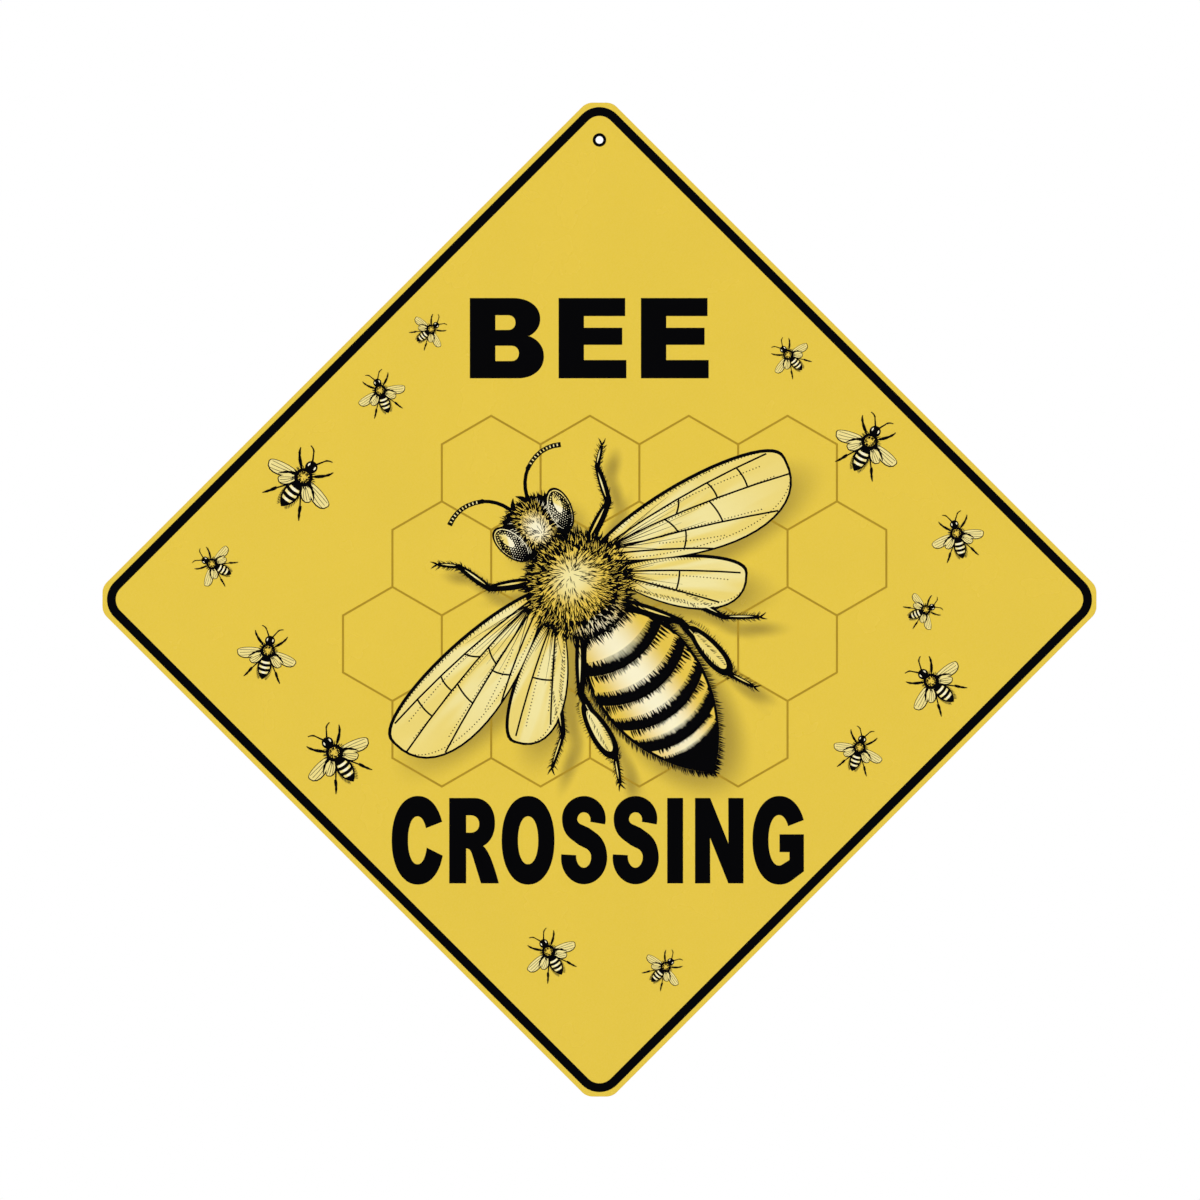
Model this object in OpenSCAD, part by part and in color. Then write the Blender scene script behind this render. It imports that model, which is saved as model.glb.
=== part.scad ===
// Diamond-shaped crossing sign: one flat printed aluminium sheet that hangs from a hole.
// The sheet stands upright with its printed face towards -Y. The origin is the centre of
// the hanging hole at the sheet's back face. Sizes are in millimetres and degrees.

/* [Sheet] */
// Width of the square blank between two opposite sides, before its corners are cut
blank_w = 304.8; // [290:0.2:420]
// Thickness of the sheet
sheet_t = 0.8; // [0.5:0.05:3]
// Length of each side that is lost at a cut corner, up to where the side runs straight
corner_leg = 10.4; // [8:0.1:18]
// Radius of the two shoulders beside each cut corner
shoulder_r = 6.35; // [2:0.05:7.5]
// Width of the broken edge round both faces of the sheet
edge_break = 0.12; // [0.05:0.01:0.2]

/* [Hanging hole] */
// Diameter of the hole that is drilled through the sheet
hole_d = 3.2; // [2.5:0.1:6]
// Distance from the cut top corner down to the hole's centre
hole_drop = 15.8; // [14:0.1:24]
// Width of the printed black ring round the hole
hole_ring_w = 1.25; // [0.6:0.05:2]

/* [Printing] */
// Thickness of one layer of ink
ink_t = 0.06; // [0.03:0.01:0.2]
// Margin between the edge of the sheet and the black border
border_inset = 2.2; // [1.5:0.1:4]
// Width of the black border
border_w = 3.7; // [2:0.1:5]
// Radius at the outer corners of the black border
border_r = 10.4; // [8:0.1:16]

/* [Honeycomb] */
// Length of one side of a honeycomb cell
cell_side = 24.1; // [16:0.1:26]
// Width of the lines between the cells
comb_line = 0.85; // [0.4:0.05:2]

/* [Large bee] */
// Angle by which the large bee leans to the left
bee_lean = 36; // [0:1:45]
// Length of the abdomen
abdomen_l = 80; // [64:1:84]
// Width of the abdomen
abdomen_w = 45; // [36:1:48]
// Diameter of the thorax without its fur
thorax_d = 42; // [36:1:46]
// Width of the head over both eyes
head_w = 35; // [30:1:40]
// Length of a front wing
front_wing_l = 92; // [76:1:94]
// Width of a front wing
front_wing_w = 36; // [26:1:38]
// Length of a hind wing
hind_wing_l = 60; // [48:1:64]
// Width of a hind wing
hind_wing_w = 25; // [18:1:27]
// Width of the black outline round the wings
wing_line = 1.1; // [0.6:0.1:1.5]
// Width of the veins in the wings
vein_w = 0.75; // [0.4:0.05:1]
// Width of the pale stripe nearest the waist
stripe_w = 10; // [6:0.5:11]
// Length of the fur that stands out of the thorax
fur_l = 2.4; // [1:0.1:4]
// Width of the dark rim that is left beside the stripes
stripe_rim = 1.3; // [0.8:0.1:2]
// Width of a leg where it leaves the body
leg_w = 3.4; // [2:0.1:4]
// Width of a hind leg's broad shin
shin_w = 9; // [6:0.5:10]
// Length of a hind leg's broad shin
shin_l = 27; // [20:1:30]
// Width of a feeler at its elbow
feeler_w = 1.8; // [1.2:0.1:2.4]

/* [Small bees] */
// Body length of a small bee, before each one's own share is applied
swarm_l = 24; // [18:1:26]
// Width of the black outline round a small bee's wings
swarm_line = 0.4; // [0.25:0.05:0.6]

/* [Hidden] */
$fn = 96;

yellow = [0.898, 0.776, 0.278];
black = [0.02, 0.02, 0.03];
comb_brown = [0.66, 0.54, 0.14];
cream = [0.96, 0.90, 0.68];

// Height of a sharp corner and of a cut one above the middle of the sheet
sharp_tip = blank_w / sqrt(2);
cut_tip = sharp_tip - (corner_leg - shoulder_r * tan(22.5)) / sqrt(2);
hole_y = cut_tip - hole_drop;
clearance = 1;
// A cut corner's flat lies this much under its two shoulders, so that it runs into them cleanly
flat_dip = 0.002;

// A cell's width across its flat sides, and the step between two rows
cell_w = cell_side * sqrt(3);
row_step = cell_side * 1.5;
// Middle of the first row's cell 0, measured from the middle of the sheet
comb_pos = [-0.096 * cell_w, 1.4815 * row_step];
// Cells of each row, as steps of one cell width from the middle of the pattern
comb_rows = [[-1, 0, 1, 2], [-2, -1, 0, 1, 2], [-2, -1, 0, 1, 2], [-2, -1, 0, 1]];

// Middle of the thorax, measured from the middle of the sheet
bee_pos = [-0.0418, 0.0278] * sharp_tip;
head_pos = [0, thorax_d * 0.5 + head_w * 0.27];
eye_pos = [head_w * 0.36, head_pos[1]];
waist_y = -thorax_d * 0.40;
abdomen_y = waist_y - abdomen_l / 2;
thorax_hairs = 40;
head_hairs = 30;

// Joints of the front, middle and hind leg, and the middle of the shin, as shares of the
// thorax's diameter
front_leg = [[0.33, 0.29], [0.74, 0.50], [0.86, 0.86], [1.02, 1.00]];
middle_leg = [[0.33, -0.19], [0.79, -0.71], [1.00, -1.12], [1.29, -1.33]];
hind_leg = [[0.24, -0.38], [0.62, -0.90], [0.71, -1.62], [0.83, -1.86]];
shin_pos = [0.69, -1.31];

// Each small bee: place as a share of the half diagonal, share of the length, and heading
swarm = [
    [-0.43, 0.41, 0.72, 20], [-0.58, 0.24, 1.10, -38], [-0.76, 0.07, 0.66, 62],
    [-0.65, -0.10, 0.88, -12], [-0.52, -0.30, 1.04, 34], [-0.33, 0.53, 0.56, -50],
    [0.37, 0.48, 0.62, 42], [0.53, 0.31, 1.0, -28], [0.70, 0.13, 0.78, 14],
    [0.64, -0.02, 0.58, -66], [0.65, -0.16, 0.92, 48], [0.51, -0.29, 0.74, -18],
    [-0.10, -0.69, 0.80, 30], [0.13, -0.72, 0.62, -44]
];

function ellipse(a, b, n) = [for (i = [0 : n - 1]) [a * cos(360 * i / n), b * sin(360 * i / n)]];

// An egg with its blunt end up: the width follows a sine that is fuller towards that end
function egg(w, l, blunt, point, n) = [
    for (i = [0 : n - 1])
        let (c = cos(360 * i / n), s = sin(360 * i / n))
        [-w / 2 * sign(s) * pow(abs(s), 1 + point * (1 - c) / 2) * (1 + blunt * c), l / 2 * c]
];

// Half width of a wing at the share t of its length, leading side and trailing side
function wing_root(t) = 1 - 0.72 * pow(1 - t, 3);
function wing_lead(t) = 0.34 * pow(sin(180 * t), 0.8) * wing_root(t);
function wing_trail(t) = -0.66 * pow(sin(180 * pow(t, 1.3)), 0.85) * wing_root(t);
function wing_along(t) = (1 - cos(180 * t)) / 2;
function wing_outline(l, w, n) = concat(
    [for (i = [0 : n]) [l * wing_along(i / n), w * wing_trail(i / n)]],
    [for (i = [n - 1 : -1 : 1]) [l * wing_along(i / n), w * wing_lead(i / n)]]
);

// Point on the quadratic curve from a to c that b pulls on
function bend(a, b, c, t) = (1 - t) * (1 - t) * a + 2 * t * (1 - t) * b + t * t * c;
function curve(a, b, c, n) = [for (i = [0 : n]) bend(a, b, c, i / n)];

// Outline of a line through the points p. Its width goes from w0 to w1, and is greater by
// swell half way.
function unit(v) = v / norm(v);
function ahead(p, i) = unit(p[min(i + 1, len(p) - 1)] - p[max(i - 1, 0)]);
function side(p, i, s) = p[i] + s * [-ahead(p, i)[1], ahead(p, i)[0]];
function stroke_half(t, w0, w1, swell) = (w0 + (w1 - w0) * t + swell * sin(180 * t)) / 2;
function stroke(p, w0, w1, swell = 0) = let (last = len(p) - 1) concat(
    [for (i = [0 : last]) side(p, i, -stroke_half(i / last, w0, w1, swell))],
    [for (i = [last : -1 : 0]) side(p, i, stroke_half(i / last, w0, w1, swell))]
);

// Stands the drawing upright, with the hanging hole at the origin and the front at -Y
module upright() {
    rotate([90, 0, 0]) translate([0, -hole_y, 0]) children();
}

// Lays a flat shape on the front of the sheet, over as many layers of ink as are under it
module printed(layers_under) {
    upright() translate([0, 0, sheet_t + layers_under * ink_t]) linear_extrude(ink_t) children();
}

// Half section of the sheet's rim, from its middle out to r, with both edges broken
module rim_section(r) {
    polygon([
        [0, 0], [r - edge_break, 0], [r, edge_break],
        [r, sheet_t - edge_break], [r - edge_break, sheet_t], [0, sheet_t]
    ]);
}

// Straight rim of length l and reach r, with the middle of its inner edge at c
module rim_strip(c, l, r) {
    translate(c) translate([-l / 2, 0, 0]) rotate([90, 0, 90]) linear_extrude(l) rim_section(r);
}

// The whole blank, drawn with its sides level and then turned to stand on a corner. Each
// corner has two shoulders with a short flat between them, and the four sides join them.
module sheet_blank() {
    far = blank_w / 2 - shoulder_r;
    near = blank_w / 2 - corner_leg;
    rotate(45) {
        linear_extrude(sheet_t) polygon([
            [near, far], [-near, far], [-far, near], [-far, -near],
            [-near, -far], [near, -far], [far, -near], [far, near]
        ]);
        for (a = [0, 90, 180, 270]) rotate(a) {
            for (c = [[near, far], [far, near]]) translate(c) rotate_extrude() rim_section(shoulder_r);
            rim_strip([0, far], 2 * near, shoulder_r);
            rotate(-45)
                rim_strip([0, (near + far) / sqrt(2)], (far - near) * sqrt(2), shoulder_r - flat_dip);
        }
    }
}

module sign_sheet() {
    color(yellow) upright() difference() {
        sheet_blank();
        translate([0, hole_y, -clearance]) cylinder(d = hole_d, h = sheet_t + 2 * clearance);
    }
}

// Square on its corner with rounded corners, w wide between its sides
module diamond(w, r) {
    rotate(45) {
        square([w, w - 2 * r], center = true);
        square([w - 2 * r, w], center = true);
        for (x = [-1, 1], y = [-1, 1]) translate([x, y] * (w / 2 - r)) circle(r);
    }
}

module border_print() {
    border_outer = blank_w - 2 * border_inset;
    color(black) printed(0) difference() {
        diamond(border_outer, border_r);
        diamond(border_outer - 2 * border_w, border_r - border_w);
    }
}

module hole_ring_print() {
    color(black) printed(0) translate([0, hole_y]) difference() {
        circle(d = hole_d + 2 * hole_ring_w);
        circle(d = hole_d);
    }
}

// The chosen cells, each grown by the half width of a line or shrunk by it
module comb_cells(grow) {
    for (row = [0 : len(comb_rows) - 1], step = comb_rows[row])
        translate(comb_pos + [(step + (row % 2) / 2) * cell_w, -row * row_step])
            rotate(30) circle(r = cell_side + grow / cos(30), $fn = 6);
}

module honeycomb_print() {
    color(comb_brown) printed(0) difference() {
        comb_cells(comb_line / 2);
        comb_cells(-comb_line / 2);
        bee_place() bee_outline();
        swarm_places() small_bee_black();
    }
}

module bee_place() {
    translate(bee_pos) rotate(bee_lean) children();
}

// A right-hand outline as drawn for s = 1, or its left-hand twin for s = -1. Both run
// counter-clockwise, as every outline here does.
function handed(points, s) = s > 0 ? points : [
    for (i = [len(points) - 1 : -1 : 0]) [-points[i][0], points[i][1]]
];

module front_wing_place(s) {
    translate([s * thorax_d * 0.28, thorax_d * 0.16]) rotate(-9 * s) children();
}

module hind_wing_place(s) {
    translate([s * thorax_d * 0.30, -thorax_d * 0.06]) rotate(-36 * s) children();
}

// Fur outline: as many points as there are hairs stand out round an ellipse by one hair's length
module fur_disc(a, b, hair, hairs) {
    polygon([
        for (i = [0 : 2 * hairs - 1])
            let (t = 180 * i / hairs, out = (i % 2) * hair)
            [(a + out) * cos(t + (i % 2) * 3), (b + out) * sin(t + (i % 2) * 3)]
    ]);
}

// A leg through the given joints. Each length is thinner than the one before, and swells in
// its middle by its own share of the leg's width.
module leg(shares, w, s) {
    joints = shares * thorax_d;
    swell = [0.45, 0.30, 0.05];
    for (i = [0 : len(joints) - 2]) {
        a = joints[i];
        b = joints[i + 1];
        w0 = w * (1 - 0.20 * i);
        polygon(handed(stroke(curve(a, (a + b) / 2, b, 6), w0, w0 * 0.75, w * swell[i]), s));
    }
    for (i = [1 : len(joints) - 2])
        translate([s * joints[i][0], joints[i][1]]) circle(d = w * (1 - 0.18 * i), $fn = 32);
}

// Broad shin of the hind leg, which carries pollen
module hind_shin(w, l, s) {
    translate([s * shin_pos[0], shin_pos[1]] * thorax_d) rotate(5 * s) polygon(egg(w, l, -0.2, 0, 32));
}

module bee_legs(s) {
    leg(front_leg, leg_w, s);
    leg(middle_leg, leg_w, s);
    leg(hind_leg, leg_w * 1.1, s);
    hind_shin(shin_w, shin_l, s);
}

module bee_feeler(s) {
    root = head_pos + [0.09, 0.17] * head_w;
    elbow = head_pos + [0.34, 0.63] * head_w;
    tip = elbow + [0.49, 0] * head_w;
    shaft = curve(root, root + [0.03, 0.32] * head_w, elbow, 6);
    whip = curve(elbow, elbow + [0.26, 0.14] * head_w, tip, 6);
    polygon(handed(stroke(shaft, feeler_w * 0.9, feeler_w * 0.8), s));
    polygon(handed(stroke(whip, feeler_w, feeler_w * 1.2), s));
    translate([s * elbow[0], elbow[1]]) circle(d = feeler_w * 1.1, $fn = 32);
}

module bee_eye(s, w, l, up) {
    translate([s * eye_pos[0], eye_pos[1]]) rotate(-14 * s) translate([0, up])
        polygon(ellipse(w / 2, l / 2, 36));
}

module bee_outline() {
    translate([0, abdomen_y]) polygon(egg(abdomen_w, abdomen_l, 0.20, 0.5, 72));
    fur_disc(thorax_d / 2, thorax_d / 2, fur_l, thorax_hairs);
    translate(head_pos) fur_disc(head_w * 0.44, head_w * 0.34, fur_l * 0.5, head_hairs);
    for (s = [-1, 1]) {
        bee_eye(s, head_w * 0.30, head_w * 0.56, 0);
        front_wing_place(s) polygon(handed(wing_outline(front_wing_l, front_wing_w, 26), s));
        hind_wing_place(s) polygon(handed(wing_outline(hind_wing_l, hind_wing_w, 20), s));
        bee_legs(s);
        bee_feeler(s);
    }
}

module bee_black_print() {
    color(black) printed(0) bee_place() bee_outline();
}

// A short vein between two long ones, from the share ta of a's length to the share tb of b's
function cross_vein(a, ta, b, tb) = let (
    start = bend(a[0], a[1], a[2], ta),
    end = bend(b[0], b[1], b[2], tb)
) [start, (start + end) / 2 + [0.012, 0], end];

// One wing's pale field, cut through by veins. It lies nearer the trailing edge, so that the
// outline is heavier along the leading one. Each vein is a curve through three points that are
// given as shares of the wing's length and width.
module wing_field(l, w, veins, s) {
    difference() {
        translate([s * wing_line * 1.6, -wing_line * 0.6])
            polygon(handed(wing_outline(l - wing_line * 2.6, w - wing_line * 2.2, 26), s));
        for (v = veins) {
            points = [for (p = v) [l * p[0], w * p[1]]];
            polygon(handed(stroke(curve(points[0], points[1], points[2], 6), vein_w, vein_w), s));
        }
        circle(d = thorax_d * 0.45);
    }
}

module bee_wing_fields(s) {
    root = [0, 0];
    long_veins = [
        [root, [0.45, 0.20], [0.93, 0.14]], [root, [0.45, 0.06], [1.0, -0.20]],
        [root, [0.45, -0.20], [0.86, -0.52]], [root, [0.35, -0.32], [0.55, -0.62]]
    ];
    cross_veins = [
        cross_vein(long_veins[0], 0.52, long_veins[1], 0.46),
        cross_vein(long_veins[0], 0.68, long_veins[1], 0.66),
        cross_vein(long_veins[0], 0.84, long_veins[1], 0.80),
        cross_vein(long_veins[1], 0.40, long_veins[2], 0.46),
        cross_vein(long_veins[1], 0.62, long_veins[2], 0.70),
        cross_vein(long_veins[2], 0.50, long_veins[3], 0.66)
    ];
    hind_veins = [[root, [0.45, 0.08], [0.95, 0.0]], [root, [0.40, -0.22], [0.80, -0.50]]];
    hind_cross = [cross_vein(hind_veins[0], 0.56, hind_veins[1], 0.62)];
    front_wing_place(s) wing_field(front_wing_l, front_wing_w, concat(long_veins, cross_veins), s);
    hind_wing_place(s) wing_field(hind_wing_l, hind_wing_w, concat(hind_veins, hind_cross), s);
}

// Band of width w between two equal arcs of radius r, its lowest point at height y
module stripe(y, w, r) {
    difference() {
        translate([0, y + r]) circle(r);
        translate([0, y + w + r]) circle(r);
    }
}

// Pale stripes across the abdomen, each narrower than the one nearer the waist
module abdomen_stripes() {
    places = [0.20, 0.39, 0.56, 0.70, 0.82];
    reach_w = abdomen_w - 2 * stripe_rim;
    reach_l = abdomen_l - 2 * stripe_rim;
    intersection() {
        translate([0, abdomen_y]) polygon(egg(reach_w, reach_l, 0.20, 0.5, 72));
        for (i = [0 : len(places) - 1])
            stripe(waist_y - places[i] * abdomen_l, stripe_w * (1 - 0.17 * i), abdomen_w * 0.75);
    }
}

module bee_pale_print() {
    color(cream) printed(1) bee_place() {
        abdomen_stripes();
        fur_disc(thorax_d * 0.36, thorax_d * 0.34, fur_l * 0.9, 34);
        translate(head_pos) fur_disc(head_w * 0.15, head_w * 0.22, fur_l * 0.4, 20);
        for (s = [-1, 1]) {
            bee_wing_fields(s);
            bee_eye(s, head_w * 0.09, head_w * 0.24, head_w * 0.08);
            hind_shin(shin_w * 0.56, shin_l * 0.74, s);
        }
    }
}

// Pointed oval between two arcs, l long and w wide
module leaf(l, w) {
    r = (l * l + w * w) / (4 * w);
    intersection() {
        translate([0, r - w / 2]) circle(r);
        translate([0, w / 2 - r]) circle(r);
    }
}

module swarm_places() {
    for (b = swarm) translate([b[0], b[1]] * sharp_tip) rotate(b[3]) scale(b[2]) children();
}

module small_abdomen(l, w) {
    translate([0, -swarm_l * 0.33]) rotate(90) leaf(l, w);
}

// The four wings, or their pale fields when they are drawn further in
module small_wings(inset) {
    for (s = [-1, 1]) {
        rotate(-12 * s) translate([s * (swarm_l * 0.04 + 1.6 * inset), 0])
            polygon(handed(wing_outline(swarm_l * 0.58 - 2.6 * inset, swarm_l * 0.24 - 2 * inset, 9), s));
        rotate(-40 * s) translate([s * (swarm_l * 0.04 + 1.6 * inset), 0])
            polygon(handed(wing_outline(swarm_l * 0.38 - 2.6 * inset, swarm_l * 0.18 - 2 * inset, 8), s));
    }
}

// Thin leg or feeler from a to b, given as shares of the body length
module small_limb(a, b, s) {
    polygon(handed(stroke([a * swarm_l, b * swarm_l], swarm_l * 0.035, swarm_l * 0.02), s));
}

module small_bee_black() {
    circle(d = swarm_l * 0.29);
    translate([0, swarm_l * 0.20]) circle(d = swarm_l * 0.20);
    small_abdomen(swarm_l * 0.52, swarm_l * 0.27);
    small_wings(0);
    for (s = [-1, 1]) {
        small_limb([0, 0.22], [0.12, 0.42], s);
        small_limb([0, 0], [0.24, 0.20], s);
        small_limb([0, -0.06], [0.28, -0.46], s);
    }
}

module swarm_black_print() {
    color(black) printed(0) swarm_places() small_bee_black();
}

module small_bee_pale() {
    difference() {
        small_wings(swarm_line);
        circle(d = swarm_l * 0.31);
        small_abdomen(swarm_l * 0.54, swarm_l * 0.29);
    }
    circle(d = swarm_l * 0.17);
    intersection() {
        small_abdomen(swarm_l * 0.46, swarm_l * 0.21);
        for (i = [0 : 2]) stripe(-swarm_l * (0.27 + 0.10 * i), swarm_l * 0.045, swarm_l * 0.3);
    }
}

module swarm_pale_print() {
    color(cream) printed(1) swarm_places() small_bee_pale();
}

sign_sheet();
border_print();
hole_ring_print();
honeycomb_print();
bee_black_print();
bee_pale_print();
swarm_black_print();
swarm_pale_print();
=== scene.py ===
# Looks of the bee crossing sign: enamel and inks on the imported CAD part, the two words, and the
# fine line work of the large bee and the small ones. Drawing sizes are in millimetres from the
# middle of the sheet, x to the right and y up. Blender's are in metres.
import math

import bpy
import numpy as np
from mathutils.geometry import tessellate_polygon
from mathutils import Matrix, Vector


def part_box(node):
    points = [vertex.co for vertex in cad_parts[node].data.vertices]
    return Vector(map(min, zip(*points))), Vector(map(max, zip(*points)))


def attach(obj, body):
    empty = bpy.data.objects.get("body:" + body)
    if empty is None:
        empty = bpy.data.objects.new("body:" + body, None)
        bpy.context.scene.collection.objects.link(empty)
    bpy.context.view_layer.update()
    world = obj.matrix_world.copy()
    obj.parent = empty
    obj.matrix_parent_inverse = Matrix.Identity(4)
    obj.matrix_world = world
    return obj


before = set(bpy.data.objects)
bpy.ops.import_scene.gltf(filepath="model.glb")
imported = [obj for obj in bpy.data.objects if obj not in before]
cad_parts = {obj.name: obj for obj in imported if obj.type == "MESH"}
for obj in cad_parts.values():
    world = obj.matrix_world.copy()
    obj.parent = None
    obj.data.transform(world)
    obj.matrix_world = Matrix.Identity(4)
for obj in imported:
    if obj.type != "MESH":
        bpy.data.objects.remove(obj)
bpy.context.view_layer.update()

MM = 0.001
dice = np.random.default_rng(2024)

# The sheet and one layer of ink, as the CAD has them
sheet_low, sheet_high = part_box("sign_sheet")
CENTRE_X = (sheet_low.x + sheet_high.x) / 2
CENTRE_Z = (sheet_low.z + sheet_high.z) / 2
FRONT = sheet_low.y
INK = (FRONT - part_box("border_print")[0].y) / MM

# Lower and upper height of what is printed, above the front of the sheet. The marks of the line
# work pass through the layers under them, and the dark ones lie over the pale ones.
WORD_LEVELS = (0, INK)
PALE_LEVELS = (0, 2.10 * INK)
DARK_LEVELS = (0, 2.22 * INK)
# Upper heights differ by up to this much, so that marks that cross don't share a face
LEVEL_SPREAD = 0.08 * INK
# How far the ink of a letter runs past its drawn outline, and the least that a corner's two normals,
# summed and squared, are taken for, so that a sharp corner doesn't run far out
INK_SPREAD = 0.11
SHARP_CORNER = 0.5

# The large bee, as the CAD has it: place of its thorax, lean and body sizes
SHARP_TIP = 304.8 / math.sqrt(2)
BEE_POS = np.array([-0.0418, 0.0278]) * SHARP_TIP
BEE_LEAN = math.radians(36)
THORAX_D = 42.0
THORAX_R = THORAX_D / 2
THORAX_FIELD_R = 15.0
HEAD_W = 35.0
HEAD_Y = 30.45
HEAD_WIDE, HEAD_LONG = 15.4, 11.9
EYE_X, EYE_TURN = 12.6, math.radians(14)
EYE_WIDE, EYE_LONG = 5.25, 9.8
WAIST_Y = -16.8
ABDOMEN_L, ABDOMEN_W = 80.0, 45.0
ABDOMEN_Y = WAIST_Y - ABDOMEN_L / 2
STRIPE_PLACES = (0.20, 0.39, 0.56, 0.70, 0.82)
STRIPE_W = 10.0
STRIPE_R = ABDOMEN_W * 0.75
FRONT_WING = {"root": (11.76, 6.72), "turn": math.radians(-9), "length": 92.0, "width": 36.0}
HIND_WING = {"root": (12.6, -2.52), "turn": math.radians(-36), "length": 60.0, "width": 25.0}
# Joints of the front, middle and hind leg
LEGS = THORAX_D * np.array([
    ((0.33, 0.29), (0.74, 0.50), (0.86, 0.86), (1.02, 1.00)),
    ((0.33, -0.19), (0.79, -0.71), (1.00, -1.12), (1.29, -1.33)),
    ((0.24, -0.38), (0.62, -0.90), (0.71, -1.62), (0.83, -1.86)),
])
LEG_W = 3.4
SHIN_POS = THORAX_D * np.array([0.69, -1.31])
SHIN_WIDE, SHIN_LONG = 4.5, 13.5
SHIN_TURN = math.radians(5)
FEELER_ELBOW = np.array([0.34 * HEAD_W, HEAD_Y + 0.63 * HEAD_W])
FEELER_BEND = FEELER_ELBOW + HEAD_W * np.array([0.26, 0.14])
FEELER_TIP = FEELER_ELBOW + HEAD_W * np.array([0.49, 0])

# The small bees, as the CAD has them: place as a share of the sharp half diagonal, scale, heading
SWARM_L = 24.0
SWARM = np.array([
    (-0.43, 0.41, 0.72, 20), (-0.58, 0.24, 1.10, -38), (-0.76, 0.07, 0.66, 62),
    (-0.65, -0.10, 0.88, -12), (-0.52, -0.30, 1.04, 34), (-0.33, 0.53, 0.56, -50),
    (0.37, 0.48, 0.62, 42), (0.53, 0.31, 1.0, -28), (0.70, 0.13, 0.78, 14),
    (0.64, -0.02, 0.58, -66), (0.65, -0.16, 0.92, 48), (0.51, -0.29, 0.74, -18),
    (-0.10, -0.69, 0.80, 30), (0.13, -0.72, 0.62, -44),
])


# Solid marks of ink

def on_sheet(points, height):
    """Drawing points to places in metres: x and y lie in the sheet's plane, height towards -Y."""
    points = np.asarray(points, float)
    height = np.broadcast_to(height, points.shape[:-1])
    x = CENTRE_X + points[..., 0] * MM
    y = FRONT - height * MM
    z = CENTRE_Z + points[..., 1] * MM
    return np.stack([x, y, z], axis=-1)


def spread_tops(count, levels):
    """Upper heights that step down evenly from the level's own over the spread."""
    return levels[1] - LEVEL_SPREAD * np.arange(count) / max(count, 1)


def ink_lines(paths, widths, levels):
    """Closed strips of ink along many paths at once. A strip's corner is its path's point plus or
    minus half the width along the path's normal, at the lower or the upper height. Four corners
    make a ring, the rings are joined by quads, and the first and last ring are filled."""
    paths = np.asarray(paths, float)
    count, stations = paths.shape[:2]
    ahead = np.gradient(paths, axis=1)
    ahead /= np.linalg.norm(ahead, axis=2, keepdims=True)
    half = np.broadcast_to(widths, (count, stations))[..., None] / 2
    side = np.stack([-ahead[..., 1], ahead[..., 0]], axis=2) * half
    low = levels[0]
    high = spread_tops(count, levels)[:, None]
    rings = np.stack([
        on_sheet(paths - side, low), on_sheet(paths + side, low),
        on_sheet(paths + side, high), on_sheet(paths - side, high),
    ], axis=2)
    first = np.arange(count)[:, None, None] * stations * 4
    ring = first + np.arange(stations - 1)[None, :, None] * 4
    corner = np.arange(4)[None, None, :]
    following = (corner + 1) % 4
    quads = np.stack([ring + corner, ring + following, ring + 4 + following, ring + 4 + corner], axis=-1)
    first = first[:, 0]
    start = first + np.array([3, 2, 1, 0])
    end = first + (stations - 1) * 4 + np.arange(4)
    faces = [*quads.reshape(-1, 4).tolist(), *start.tolist(), *end.tolist()]
    return rings.reshape(-1, 3), faces


def ink_dots(centres, radii, levels, sides=8):
    """Round dots of ink: each is a ring of points at the centre plus radius times (cos, sin), at
    both heights, walled by quads and closed by the two rings."""
    centres = np.asarray(centres, float).reshape(-1, 2)
    count = len(centres)
    angle = np.arange(sides) * 2 * math.pi / sides
    circle = np.stack([np.cos(angle), np.sin(angle)], axis=1)
    flat = centres[:, None] + np.broadcast_to(radii, count)[:, None, None] * circle
    tops = spread_tops(count, levels)[:, None]
    points = np.stack([on_sheet(flat, levels[0]), on_sheet(flat, tops)], axis=1)
    first = np.arange(count)[:, None] * 2 * sides
    i = np.arange(sides)[None, :]
    j = (i + 1) % sides
    walls = np.stack([first + i, first + j, first + sides + j, first + sides + i], axis=-1)
    faces = [*walls.reshape(-1, 4).tolist(), *(first + i[:, ::-1]).tolist(), *(first + sides + i).tolist()]
    return points.reshape(-1, 3), faces


def signed_area(loop):
    """Half the sum of cross products round a loop, which is positive counter-clockwise."""
    x, y = loop.T
    return float(np.sum(x * np.roll(y, -1) - y * np.roll(x, -1)) / 2)


def spread_loop(loop, reach):
    """A loop moved to its right: each corner goes along the sum of its two edges' normals, by
    2 reach / |sum|^2, which keeps both edges at the distance."""
    ahead = np.roll(loop, -1, axis=0) - loop
    ahead /= np.linalg.norm(ahead, axis=1, keepdims=True)
    normal = np.stack([ahead[:, 1], -ahead[:, 0]], axis=1)
    both = normal + np.roll(normal, 1, axis=0)
    squared = np.sum(both ** 2, axis=1, keepdims=True)
    return loop + 2 * reach * both / np.maximum(squared, SHARP_CORNER)


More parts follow.
